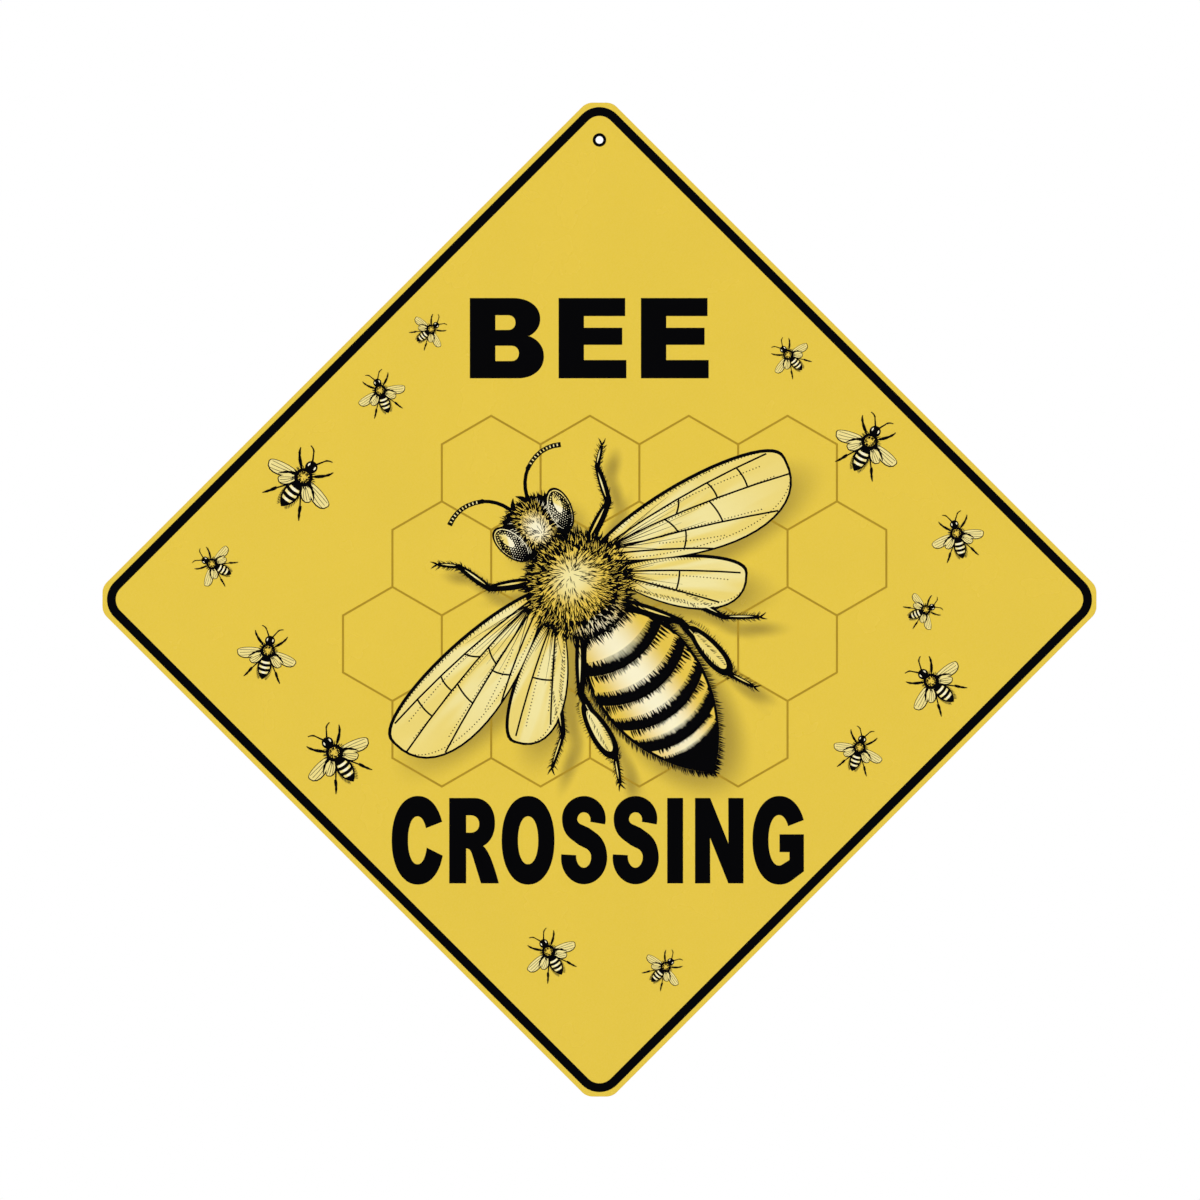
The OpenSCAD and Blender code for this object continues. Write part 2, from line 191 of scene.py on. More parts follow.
def ink_shape(outline, holes, levels):
    """A flat shape with holes as closed ink: its outline, a little outside the drawn one, is carried
    from the lower height to the upper one as a wall, and both ends are filled with triangles
    between outline and holes."""
    loops = [
        spread_loop(loop if (signed_area(loop) > 0) == (k == 0) else loop[::-1], INK_SPREAD)
        for k, loop in enumerate([outline, *holes])
    ]
    flat = np.concatenate(loops)
    count = len(flat)
    fill = np.array(tessellate_polygon([[(x, y, 0) for x, y in loop] for loop in loops]))
    a, b, c = flat[fill[:, 0]], flat[fill[:, 1]], flat[fill[:, 2]]
    across = (b - a)[:, 0] * (c - a)[:, 1] - (b - a)[:, 1] * (c - a)[:, 0]
    fill[across < 0] = fill[across < 0][:, ::-1]
    faces = [*fill[:, ::-1].tolist(), *(fill + count).tolist()]
    first = 0
    for loop in loops:
        i = np.arange(len(loop))
        j = np.roll(i, -1)
        i, j = i + first, j + first
        faces += np.stack([i, j, j + count, i + count], axis=1).tolist()
        first += len(loop)
    return np.concatenate([on_sheet(flat, levels[0]), on_sheet(flat, levels[1])]), faces


def ink_piece(name, parts, material):
    """One object from many marks, on the sheet's body and with its ink."""
    points, faces, first = [], [], 0
    for part_points, part_faces in parts:
        points.append(part_points)
        faces += [[i + first for i in face] for face in part_faces]
        first += len(part_points)
    mesh = bpy.data.meshes.new(name)
    mesh.from_pydata(np.concatenate(points), [], faces)
    mesh.materials.append(material)
    piece = bpy.data.objects.new(name, mesh)
    bpy.context.scene.collection.objects.link(piece)
    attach(piece, "root")
    return piece


# Curves of the drawing

def turned(points, angle):
    """Points turned counter-clockwise by an angle in radians, or each by its own angle."""
    c, s = np.cos(angle), np.sin(angle)
    x, y = points[..., 0], points[..., 1]
    return np.stack([c * x - s * y, s * x + c * y], axis=-1)


def bend(a, b, c, steps):
    """Quadratic curve (1-t)^2 a + 2t(1-t) b + t^2 c at evenly spaced t."""
    t = np.linspace(0, 1, steps + 1)[:, None]
    a, b, c = np.asarray(a, float), np.asarray(b, float), np.asarray(c, float)
    return (1 - t) ** 2 * a + 2 * t * (1 - t) * b + t ** 2 * c


def oval(centre, radii, start, end, steps, fullness=2.15):
    """Arc of a superellipse from one angle in degrees to another: each axis is its radius times
    the cosine or sine to the power 2/fullness, with its sign kept."""
    t = np.radians(np.linspace(start, end, steps + 1))
    c, s = np.cos(t), np.sin(t)
    x = np.sign(c) * np.abs(c) ** (2 / fullness) * radii[0]
    y = np.sign(s) * np.abs(s) ** (2 / fullness) * radii[1]
    return np.stack([x, y], axis=1) + centre


def corners(*points):
    return np.array(points, float)


# Letters, from their lower left corner. Each gives its outline and its holes.

def letter_e(height, width, stem, bars, middle, short):
    """Stem with a lower, a middle and an upper arm. short says how much less than the lower arm
    the upper and the middle one reach."""
    lower, centre, upper = bars
    y1 = middle - centre / 2
    y2 = middle + centre / 2
    return corners(
        (0, 0), (width, 0), (width, lower), (stem, lower), (stem, y1), (width - short[1], y1),
        (width - short[1], y2), (stem, y2), (stem, height - upper), (width - short[0], height - upper),
        (width - short[0], height), (0, height),
    ), []


def bowl_hole(x, reach, low, high):
    """Hole beside a stem: straight on the left, and half an oval on the right."""
    radius = (high - low) / 2
    end = oval((reach - radius, low + radius), (radius, radius), -90, 90, 14)
    return np.concatenate([end, corners((x, high), (x, low))])


def letter_b(height, width, stem):
    lower = oval((20.0, 9.2), (width - 20.0, 9.2), -90, 70, 22)
    upper = oval((18.0, height - 8.67), (11.5, 8.67), -54, 90, 20)
    outline = np.concatenate([corners((0, 0)), lower, upper, corners((0, height))])
    return outline, [bowl_hole(stem, 20.75, 7.06, 13.78), bowl_hole(stem, 19.3, 20.2, 26.66)]


def letter_r(height, width, stem):
    bowl = oval((10.4, height - 10.46), (8.7, 10.46), -67, 90, 22)
    leg_outside = bend((width, 0), (17.2, 13.4), bowl[0], 12)[:-1]
    leg_inside = bend((stem, 14.75), (8.9, 14.9), (9.7, 12.0), 8)
    outline = np.concatenate([
        corners((0, 0), (stem, 0)), leg_inside, corners((13.4, 0)), leg_outside, bowl, corners((0, height)),
    ])
    return outline, [bowl_hole(stem, 12.7, 21.2, 28.78)]


ROUND_MIDDLE = 18.09
ROUND_HIGH = 18.61
COUNTER_HIGH = 10.25


def letter_o(width):
    outside = oval((width / 2, ROUND_MIDDLE), (width / 2, ROUND_HIGH), 0, 360, 72)[:-1]
    inside = oval((width / 2, ROUND_MIDDLE), (4.4, COUNTER_HIGH), 0, 360, 56)[:-1]
    return outside, [inside]


def letter_c(half_width):
    outside = oval((half_width, ROUND_MIDDLE), (half_width, ROUND_HIGH), 23.4, 341, 66)
    inside = oval((half_width - 0.15, ROUND_MIDDLE), (4.15, COUNTER_HIGH), 343, 29.3, 48)
    return np.concatenate([outside, inside]), []


def letter_g(half_width, width):
    """Like C, but its lower end runs up into an upright with a bar that points inwards."""
    outside = oval((half_width, ROUND_MIDDLE), (half_width, ROUND_HIGH), 26, 296, 58)
    inside = oval((half_width - 0.14, ROUND_MIDDLE), (4.6, 10.78), 282, 33, 44)
    spur = corners((width, 4.99), (width, 20.49), (11.41, 20.49), (11.41, 13.2), (15.6, 13.2), (15.6, 9.72))
    return np.concatenate([outside, spur, inside]), []


def letter_s():
    """A stroke along the upper arc, a slanting middle and the lower arc. It is widest in the
    middle of the slant."""
    upper = oval((9.55, 27.0), (6.0, 6.35), -14, 239, 36, fullness=2)
    lower = oval((9.55, 10.9), (6.45, 7.9), 63, -187, 38, fullness=2)
    slant = bend(upper[-1], (upper[-1] + lower[0]) / 2, lower[0], 8)[1:-1]
    spine = np.concatenate([upper, slant, lower])
    step = np.linalg.norm(np.diff(spine, axis=0), axis=1)
    share = np.concatenate([[0], np.cumsum(step)]) / step.sum()
    width = np.interp(share, [0, 0.16, 0.33, 0.47, 0.62, 0.82, 1], [6.1, 6.7, 6.2, 8.2, 6.5, 6.8, 6.1])
    ahead = np.gradient(spine, axis=0)
    ahead /= np.linalg.norm(ahead, axis=1, keepdims=True)
    side = np.stack([-ahead[:, 1], ahead[:, 0]], axis=1) * width[:, None] / 2
    return np.concatenate([spine + side, (spine - side)[::-1]]), []


def letter_i(height, stem):
    return corners((0, 0), (stem, 0), (stem, height), (0, height)), []


def letter_n(height, width, stem):
    far = width - stem
    return corners(
        (0, 0), (stem, 0), (stem, height * 0.54), (far, 0), (width, 0), (width, height),
        (far, height), (far, height * 0.46), (stem, height), (0, height),
    ), []


def word_parts(letters, baseline):
    """Ink of each letter, moved to its place on the line."""
    return [
        ink_shape(outline + (x, baseline), [hole + (x, baseline) for hole in holes], WORD_LEVELS)
        for x, (outline, holes) in letters
    ]


UPPER_H, UPPER_BASE = 33.70, 93.61
LOWER_H, LOWER_BASE = 35.85, -119.80
BIG_E = {"width": 28.4, "stem": 10.47, "bars": (7.50, 7.00, 7.40), "middle": 17.64, "short": (0.5, 1.75)}
UPPER_WORD = (
    (-54.66, letter_b(UPPER_H, 31.06, 10.56)),
    (-17.14, letter_e(UPPER_H, **BIG_E)),
    (17.64, letter_e(UPPER_H, **BIG_E)),
)
LOWER_WORD = (
    (-87.67, letter_c(10.94)),
    (-63.37, letter_r(LOWER_H, 20.7, 6.93)),
    (-41.19, letter_o(22.06)),
    (-16.13, letter_s()),
    (5.68, letter_s()),
    (28.75, letter_i(LOWER_H, 6.47)),
    (40.50, letter_n(LOWER_H, 20.24, 6.2)),
    (64.79, letter_g(11.24, 21.47)),
)


# Line work of the large bee, drawn in its own axes with the heading along +y

HAIR_STATIONS = np.linspace(0, 1, 5)
HAIR_TAPER = np.array([0.55, 1.0, 0.85, 0.5, 0.08])
BOTH = (-1, 1)


def on_bee(points):
    """From the large bee's own axes to the drawing: turned by its lean and moved to its place."""
    return turned(np.asarray(points, float), BEE_LEAN) + BEE_POS


def hairs(roots, angles, lengths, widths, curl=0.12):
    """Tapering hairs: station s lies at root + length (s along + curl s^2 across)."""
    roots = np.asarray(roots, float)
    s = HAIR_STATIONS[None, :, None]
    along = np.stack([np.cos(angles), np.sin(angles)], axis=1)[:, None]
    across = np.stack([-along[..., 1], along[..., 0]], axis=2)
    curls = np.broadcast_to(curl, len(roots))[:, None, None]
    reach = np.broadcast_to(lengths, len(roots))[:, None, None]
    paths = roots[:, None] + reach * (s * along + curls * s ** 2 * across)
    return paths, np.broadcast_to(widths, len(roots))[:, None] * HAIR_TAPER


def bee_hairs(levels, *args, **options):
    paths, widths = hairs(*args, **options)
    return ink_lines(on_bee(paths), widths, levels)


def ring_places(count, radii, low, high):
    """Evenly shuffled places between two shares of an ellipse's radii, and their angles."""
    angle = (np.arange(count) + dice.random(count)) * 2 * math.pi / count
    share = np.sqrt(dice.uniform(low ** 2, high ** 2, count))
    places = np.stack([radii[0] * np.cos(angle), radii[1] * np.sin(angle)], axis=1) * share[:, None]
    return places, angle


def fur_ring(levels, count, radii, shares, stray, reach, width, middle=(0, 0)):
    """Hairs between two shares of an ellipse's radii. They point away from its middle, give or
    take stray, and their lengths lie in a range, as their widths do where width is two numbers."""
    roots, out = ring_places(count, radii, *shares)
    if stray:
        out = out + dice.normal(0, stray, count)
    lengths = dice.uniform(*reach, count)
    widths = dice.uniform(*width, count) if np.ndim(width) else width
    return bee_hairs(levels, roots + middle, out, lengths, widths)


def thorax_marks():
    """Fur combed backwards from the neck: dark hairs that crowd towards the rim and the rear, a
    dark fringe over the edge, and pale hairs in the dark rim."""
    radii = (THORAX_FIELD_R, THORAX_FIELD_R)
    places, _ = ring_places(1500, radii, 0.12, 1.0)
    reach = np.linalg.norm(places, axis=1) / THORAX_FIELD_R
    shade = 0.62 * reach ** 2 + 0.38 * (0.5 - 0.5 * places[:, 1] / THORAX_FIELD_R)
    kept = dice.random(len(places)) < 0.10 + 0.75 * shade
    places, shade = places[kept], shade[kept]
    combed = places - (0, 6.0)
    angle = np.arctan2(combed[:, 1], combed[:, 0]) + dice.normal(0, 0.22, len(places))
    dark = bee_hairs(DARK_LEVELS, places, angle, dice.uniform(2.0, 4.2, len(places)), 0.22 + 0.26 * shade)
    radii = (THORAX_R, THORAX_R)
    fringe = fur_ring(DARK_LEVELS, 330, radii, (0.94, 1.05), 0.18, (2.2, 4.6), (0.35, 0.6))
    pale = fur_ring(PALE_LEVELS, 300, radii, (0.72, 0.95), 0.25, (2.0, 4.4), (0.18, 0.36))
    return [dark, fringe], [pale]


def head_marks():
    """Short fur on the head, a fringe in front of it, and pale hairs between the eyes."""
    middle = np.array([0, HEAD_Y])
    face, _ = ring_places(170, (4.9, 7.2), 0.15, 1.0)
    angle = np.arctan2(face[:, 1] + 4.0, face[:, 0]) + dice.normal(0, 0.25, len(face))
    dark = bee_hairs(DARK_LEVELS, face + middle, angle, dice.uniform(1.2, 2.4, len(face)), 0.26)
    radii = (HEAD_WIDE, HEAD_LONG)
    fringe = fur_ring(DARK_LEVELS, 170, radii, (0.94, 1.04), 0.2, (1.4, 3.0), 0.36, middle)
    radii = (HEAD_WIDE * 0.62, HEAD_LONG)
    pale = fur_ring(PALE_LEVELS, 150, radii, (0.55, 0.95), 0, (1.2, 2.6), 0.24, middle)
    jaws = [
        bee_hairs(DARK_LEVELS, [(s * 3.4, HEAD_Y + 10.8)], np.radians([90 + 14 * s]), 5.2, 2.2, curl=0.3 * s)
        for s in BOTH
    ]
    return [dark, fringe, *jaws], [pale]


# Step of an eye's facets along a row, and from row to row as a share of it
FACET_STEP = 1.05
FACET_ROW = 0.87


def eye_marks():
    """A pale line inside each eye's edge, and facets that shrink away from the bright field."""
    dots, sizes, lines = [], [], []
    rows, columns = np.arange(-8, 9), np.arange(-6, 7)
    grid = np.array([(x + (y % 2) / 2, y * FACET_ROW) for y in rows for x in columns]) * FACET_STEP
    inside = (grid[:, 0] / EYE_WIDE) ** 2 + (grid[:, 1] / EYE_LONG) ** 2 < 0.62
    grid = grid[inside]
    glow = np.linalg.norm((grid - (-0.6, 3.0)) / (1.3, 2.2), axis=1)
    size = np.clip(0.40 - 0.085 * (glow - 1), 0, 0.36)
    seen = (glow > 1.25) & (size > 0.07)
    for s in BOTH:
        centre = np.array([s * EYE_X, HEAD_Y])
        dots.append(turned(grid[seen], -EYE_TURN * s) + centre)
        sizes.append(size[seen])
        arc = oval((0, 0), (EYE_WIDE * 0.84, EYE_LONG * 0.87), -70, 250, 40, fullness=2)
        lines.append(turned(arc, -EYE_TURN * s) + centre)
    swell = 0.16 + 0.30 * np.sin(np.linspace(0, math.pi, 41)) ** 2
    facets = ink_dots(on_bee(np.concatenate(dots)), np.concatenate(sizes), PALE_LEVELS, sides=6)
    return [ink_lines(on_bee(np.array(lines)), swell, PALE_LEVELS), facets]


def abdomen_half_width(y):
    """Half width of the CAD's egg at a height: a sine that is fuller towards the blunt end."""
    c = np.clip((np.asarray(y, float) - ABDOMEN_Y) / (ABDOMEN_L / 2), -1, 1)
    return ABDOMEN_W / 2 * np.sqrt(1 - c ** 2) ** (1 + 0.25 * (1 - c)) * (1 + 0.20 * c)


def stripe_edge(x, y):
    """Height of an arc of the stripes at x, where its lowest point lies at y."""
    return y + STRIPE_R - np.sqrt(STRIPE_R ** 2 - x ** 2)


def abdomen_marks():
    """Dark hairs hang from each dark band over the stripe under it, pale hairs hang from each
    stripe over the next band, both longer towards the flanks, and a fringe follows the edge."""
    dark, pale = [], []
    for i, place in enumerate(STRIPE_PLACES):
        low = WAIST_Y - place * ABDOMEN_L
        height = STRIPE_W * (1 - 0.17 * i)
        half = float(abdomen_half_width(low + height / 2)) - 1.6
        count = int(half * 2.8)
        x = np.linspace(-half, half, count) + dice.uniform(-0.2, 0.2, count)
        flank = np.abs(x) / half
        down = -math.pi / 2 + 0.30 * x / half + dice.normal(0, 0.09, count)
        roots = np.stack([x, stripe_edge(x, low + height) + 0.45], axis=1)
        reach = height * (0.20 + 0.28 * dice.random(count) + 0.46 * flank ** 3)
        dark.append(bee_hairs(DARK_LEVELS, roots, down, reach, 0.55 + 0.20 * flank, curl=0.05))
        down = -math.pi / 2 + 0.30 * x / half + dice.normal(0, 0.09, count)
        roots = np.stack([x, stripe_edge(x, low) + 0.35], axis=1)
        reach = 1.1 + height * (0.10 + 0.24 * dice.random(count)) * (1 - 0.5 * flank)
        pale.append(bee_hairs(PALE_LEVELS, roots, down, reach, 0.50, curl=0.05))
    y = ABDOMEN_Y + ABDOMEN_L / 2 * np.cos(np.linspace(0.35, math.pi - 0.02, 130))
    for s in BOTH:
        roots = np.stack([s * (abdomen_half_width(y) - 0.4), y], axis=1)
        down = -math.pi / 2 + s * (0.40 + 0.75 * (y - y.min()) / np.ptp(y)) + dice.normal(0, 0.1, len(y))
        dark.append(bee_hairs(DARK_LEVELS, roots, down, dice.uniform(2.0, 3.8, len(y)), 0.50))
    tail = [(0, WAIST_Y - ABDOMEN_L + 1.0)]
    sting = bee_hairs(DARK_LEVELS, tail, np.radians([-90]), 4.4, 1.3, curl=0)
    return [*dark, sting], pale


def wing_side(t, leading):
    """Distance of a wing's edge from its axis as a share of its width, from the CAD's formulas."""
    root = 1 - 0.72 * (1 - t) ** 3
    if leading:
        return 0.34 * np.sin(math.pi * t) ** 0.8 * root
    return -0.66 * np.sin(math.pi * t ** 1.3) ** 0.85 * root


def on_wing(points, wing, s):
    """From a wing's own axes, root at the origin and tip along +x, to the drawing."""
    handed = np.asarray(points, float) * (s, 1)
    return on_bee(turned(handed, wing["turn"] * s) + np.array(wing["root"]) * (s, 1))


def row_of_dots(path, spacing):
    """Evenly spaced points along a path, found by its length so far."""
    step = np.linalg.norm(np.diff(path, axis=0), axis=1)
    length = np.concatenate([[0], np.cumsum(step)])
    at = np.arange(spacing / 2, length[-1], spacing)
    return np.stack([np.interp(at, length, path[:, 0]), np.interp(at, length, path[:, 1])], axis=1)


# Step and radius of the dots in the wings
DOT_STEP = 1.45
DOT_R = 0.29


def wing_marks(wing, rows, roots):
    """Rows of dots between the veins and inside the edge, fine lines that fan out of the root,
    and ticks across the leading edge."""
    length, width = wing["length"], wing["width"]
    t = np.linspace(0.16, 0.93, 60)
    along = length * (1 - np.cos(math.pi * t)) / 2
    edges = [np.stack([along, width * wing_side(t, lead) * 0.84], axis=1) for lead in (True, False)]
    curves = [bend(*[(length * u, width * v) for u, v in row], 24) for row in rows]
    dots = np.concatenate([row_of_dots(path, DOT_STEP) for path in [*edges, *curves]])
    paths = np.array([
        bend((length * 0.12, width * 0.10 * f), (length * 0.24, width * 0.5 * f),
             (length * (0.34 + 0.10 * (k % 3)), width * 0.9 * f), 6)
        for k, f in enumerate(np.linspace(-0.40, 0.24, roots))
    ])
    t = np.linspace(0.14, 0.60, 34)
    tick = np.stack([length * (1 - np.cos(math.pi * t)) / 2, width * wing_side(t, True) - 1.3], axis=1)
    parts = []
    for s in BOTH:
        parts.append(ink_dots(on_wing(dots, wing, s), DOT_R, DARK_LEVELS, sides=6))
        parts.append(ink_lines(on_wing(paths, wing, s), np.linspace(0.42, 0.08, 7), DARK_LEVELS))
        ticks = on_wing(np.stack([tick, tick + (0.7, -1.2)], axis=1), wing, s)
        parts.append(ink_lines(ticks, np.array([0.34, 0.12]), DARK_LEVELS))
    return parts


FRONT_ROWS = (
    ((0.30, 0.10), (0.50, 0.14), (0.88, 0.04)), ((0.34, -0.02), (0.60, -0.06), (0.92, -0.14)),
    ((0.34, -0.16), (0.55, -0.28), (0.80, -0.42)), ((0.30, -0.22), (0.44, -0.38), (0.60, -0.50)),
)
HIND_ROWS = (
    ((0.34, -0.02), (0.60, -0.05), (0.88, -0.12)), ((0.32, -0.16), (0.50, -0.28), (0.72, -0.40)),
)


def leg_marks():
    """Bristles on both sides of each leg, claws at its foot and a pale line on its lit side."""
    dark, pale = [], []
    for s in BOTH:
        for joints in LEGS:
            places = np.array(joints, float) * (s, 1)
            for k, (a, b) in enumerate(zip(places[:-1], places[1:])):
                span = b - a
                length = float(np.linalg.norm(span))
                heading = math.atan2(span[1], span[0])
                normal = np.array([-math.sin(heading), math.cos(heading)])
                width = LEG_W * (1 - 0.18 * k)
                count = int(length / 0.95)
                t = (np.arange(count) + dice.random(count)) / count
                for side in BOTH:
                    roots = a + t[:, None] * span + side * normal * width * 0.36
                    angle = heading + side * dice.uniform(0.55, 0.95, count)
                    dark.append(bee_hairs(DARK_LEVELS, roots, angle, dice.uniform(1.3, 2.5, count), 0.30))
                shine = [a + span * u + normal * s * width * 0.14 for u in (0.16, 0.5, 0.82)]
                line = np.array([bend(*shine, 6)])
                swell = width * 0.24 * np.sin(np.linspace(0.25, math.pi - 0.1, 7))
                pale.append(ink_lines(on_bee(line), swell, PALE_LEVELS))
            claws = np.array([heading - 0.45, heading + 0.45])
            dark.append(bee_hairs(DARK_LEVELS, [places[-1], places[-1]], claws, 3.4, 0.8, curl=0.2))
    return dark, pale


def shin_marks():
    """Dark hatching on each pollen shin, from its edge inwards, and bristles outwards."""
    parts = []
    count = 34
    t = np.linspace(0.2, math.pi - 0.2, count)
    for s in BOTH:
        for side in BOTH:
            local = np.stack([side * SHIN_WIDE * 0.62 * np.sin(t), SHIN_LONG * 0.78 * np.cos(t)], axis=1)
            roots = turned(local, SHIN_TURN * s) + SHIN_POS * (s, 1)
            angle = np.full(count, math.pi / 2 + side * 0.9) + dice.normal(0, 0.15, count) + math.pi
            parts.append(bee_hairs(DARK_LEVELS, roots, angle, dice.uniform(1.0, 1.9, count), 0.24))
            out = angle + side * 1.0
            roots = turned(local * 1.42, SHIN_TURN * s) + SHIN_POS * (s, 1)
            parts.append(bee_hairs(DARK_LEVELS, roots, out, dice.uniform(1.2, 2.2, count), 0.28))
    return parts


def feeler_marks():
    """Pale ticks across each feeler, one for every joint of its whip."""
    t = np.linspace(0.12, 0.92, 10)[:, None]
    spine = (1 - t) ** 2 * FEELER_ELBOW + 2 * t * (1 - t) * FEELER_BEND + t ** 2 * FEELER_TIP
    ahead = (1 - t) * (FEELER_BEND - FEELER_ELBOW) + t * (FEELER_TIP - FEELER_BEND)
    ahead /= np.linalg.norm(ahead, axis=1, keepdims=True)
    across = np.stack([-ahead[:, 1], ahead[:, 0]], axis=1) * 0.5
    ticks = np.stack([spine - across, spine + across], axis=1)
    return [ink_lines(on_bee(ticks * (s, 1)), 0.5, PALE_LEVELS) for s in BOTH]


# Line work of the small bees, drawn once and repeated at each one's place

# Radius of the thorax and of the gold field on it, and each wing's turn in degrees with its length
# and width as shares of the body's length. The thorax and the wings are as the CAD has them.
SWARM_CHEST = SWARM_L * 0.145
SWARM_BACK = SWARM_CHEST * 0.64
SWARM_WINGS = ((-12, 0.58, 0.24), (-40, 0.38, 0.18))


def on_swarm(paths, widths):
    """Every path at every small bee: scaled, turned by its heading and moved to its place."""
    paths = np.asarray(paths, float)
    places = SWARM[:, None, None, :2] * SHARP_TIP
    scale = SWARM[:, 2]
    heading = np.radians(SWARM[:, 3])[:, None, None]
    copies = turned(paths[None] * scale[:, None, None, None], heading) + places
    wide = np.broadcast_to(widths, paths.shape[:2])[None] * scale[:, None, None]
    return copies.reshape(-1, *paths.shape[1:]), wide.reshape(-1, paths.shape[1])


def swarm_lines(levels, paths, widths):
    return ink_lines(*on_swarm(paths, widths), levels)


def swarm_fur():
    """Dark hairs round the thorax, inwards from the rim of its gold field, here and there within
    the field, and backwards along the abdomen's rim."""
    edge, out = ring_places(40, (SWARM_CHEST, SWARM_CHEST), 0.86, 1.06)
    out = out + dice.normal(0, 0.2, len(out))
    rim, inwards = ring_places(26, (SWARM_BACK, SWARM_BACK), 0.96, 1.06)
    inwards = inwards + math.pi + dice.normal(0, 0.3, len(inwards))
    field, away = ring_places(12, (SWARM_BACK, SWARM_BACK), 0.2, 0.7)
    fur = [
        (edge, out, dice.uniform(0.9, 1.7, len(out)), 0.34),
        (rim, inwards, dice.uniform(0.6, 1.6, len(inwards)), 0.46),
        (field, away, dice.uniform(0.7, 1.1, len(away)), 0.26),
    ]
    t = np.linspace(0.5, 2.7, 16)
    for s in BOTH:
        flank = SWARM_L * np.stack([s * 0.125 * np.sin(t), 0.24 * np.cos(t) - 0.33], axis=1)
        fur.append((flank, np.full(len(t), -math.pi / 2 + 0.55 * s), 1.3, 0.30))
    return [swarm_lines(DARK_LEVELS, *hairs(*each)) for each in fur]


def swarm_limbs():
    """The lower parts of the legs, which swell and taper, and the feelers' whips. They go on from
    the CAD's limbs."""
    legs = SWARM_L * np.array([
        ((0.10, -0.03), (0.24, -0.04), (0.36, -0.20)),
        ((0.13, 0.11), (0.30, 0.24), (0.33, 0.35)),
        ((0.24, -0.39), (0.29, -0.50), (0.37, -0.60)),
    ])
    whips = SWARM_L * np.array([((0.12, 0.42), (0.15, 0.46), (0.22, 0.47))])
    swell = np.array([0.9, 1.25, 1.2, 0.8, 1.0, 0.6, 0.3])
    return [
        swarm_lines(DARK_LEVELS, np.array([bend(*limb, 6) for s in BOTH for limb in limbs * (s, 1)]), wide)
        for limbs, wide in ((legs, swell), (whips, np.linspace(0.7, 0.34, 7)))
    ]


def swarm_veins():
    """Three veins that spread over each wing, on the wing's own axes and then turned."""
    paths = []
    for turn, length, width in SWARM_WINGS:
        root = (0.16 * SWARM_L, 0)
        for f in (0.10, -0.16, -0.42):
            pull = SWARM_L * np.array([0.04 + 0.5 * length, f * width])
            tip = SWARM_L * np.array([0.04 + 0.9 * length, 0.9 * f * width])
            paths += [turned(bend(root, pull, tip, 6) * (s, 1), math.radians(turn) * s) for s in BOTH]
    return swarm_lines(DARK_LEVELS, np.array(paths), 0.20)


def swarm_lights():
    """Cream arcs along the middle of each stripe, and a glint in each eye."""
    x = np.linspace(-0.075, 0.075, 9)
    drop = 0.3 - np.sqrt(0.3 ** 2 - x ** 2)
    arcs = [SWARM_L * np.stack([x * (1 - 0.2 * i), drop - 0.2475 - 0.10 * i], axis=1) for i in range(3)]
    swell = 1.1 * np.sin(np.linspace(0.2, math.pi - 0.2, 9))
    glints = SWARM_L * np.array([[(s * 0.055, 0.185), (s * 0.062, 0.215), (s * 0.050, 0.245)] for s in BOTH])
    paths = np.array([bend(*glint, 4) for glint in glints])
    return [
        swarm_lines(PALE_LEVELS, arcs, swell),
        swarm_lines(PALE_LEVELS, paths, np.array([0.15, 0.5, 0.62, 0.5, 0.15])),
    ]


def swarm_chests():
    """Gold disc over the middle of each thorax."""
    places = SWARM[:, :2] * SHARP_TIP
    return ink_dots(places, SWARM[:, 2] * SWARM_BACK, PALE_LEVELS, sides=20)


# Nodes

def add_node(tree, kind, inputs=None, **settings):
    """A new node. An input is a plain value, or the output of another node to link."""
    node = tree.nodes.new(kind)
    for key, value in settings.items():
        setattr(node, key, value)
    for key, value in (inputs or {}).items():
        if isinstance(value, bpy.types.NodeSocket):
            tree.links.new(value, node.inputs[key])
        else:
            node.inputs[key].default_value = value
    return node


def maths(tree, operation, a, b=0.0):
    return add_node(tree, "ShaderNodeMath", {0: a, 1: b}, operation=operation).outputs[0]


def length_of(tree, vector):
    return add_node(tree, "ShaderNodeVectorMath", {0: vector}, operation="LENGTH").outputs["Value"]


def mixed(tree, share, a, b):
    """Colour a where share is 0 and colour b where it is 1."""
    node = add_node(tree, "ShaderNodeMix", {0: share, 6: a, 7: b}, data_type="RGBA")
    return node.outputs[2]


def between(tree, share, a, b):
    """Number a where share is 0 and number b where it is 1."""
    return add_node(tree, "ShaderNodeMix", {0: share, 2: a, 3: b}, data_type="FLOAT").outputs[0]


def ramp(tree, value, low, high):
    """Smoothly from 0 at low to 1 at high."""
    inputs = {"Value": value, "From Min": low, "From Max": high}
    return add_node(tree, "ShaderNodeMapRange", inputs, interpolation_type="SMOOTHSTEP").outputs[0]


def noise(tree, point, scale, detail=2.0, roughness=0.5):
    inputs = {"Vector": point, "Scale": scale, "Detail": detail, "Roughness": roughness}
    return add_node(tree, "ShaderNodeTexNoise", inputs).outputs[0]


def shader_group(name, inputs, outputs):
    """An empty node group with named sockets, each input with its kind and default."""
    tree = bpy.data.node_groups.new(name, "ShaderNodeTree")
    for label, kind, default in inputs:
        socket = tree.interface.new_socket(name=label, in_out="INPUT", socket_type=kind)
        if default is not None:
            socket.default_value = default
    for label, kind in outputs:
        tree.interface.new_socket(name=label, in_out="OUTPUT", socket_type=kind)
    return tree, tree.nodes.new("NodeGroupInput").outputs, tree.nodes.new("NodeGroupOutput").inputs


def placed_group(tree, group, inputs):
    """The group's outputs, in a material, with its own values."""
    return add_node(tree, "ShaderNodeGroup", inputs, node_tree=group).outputs


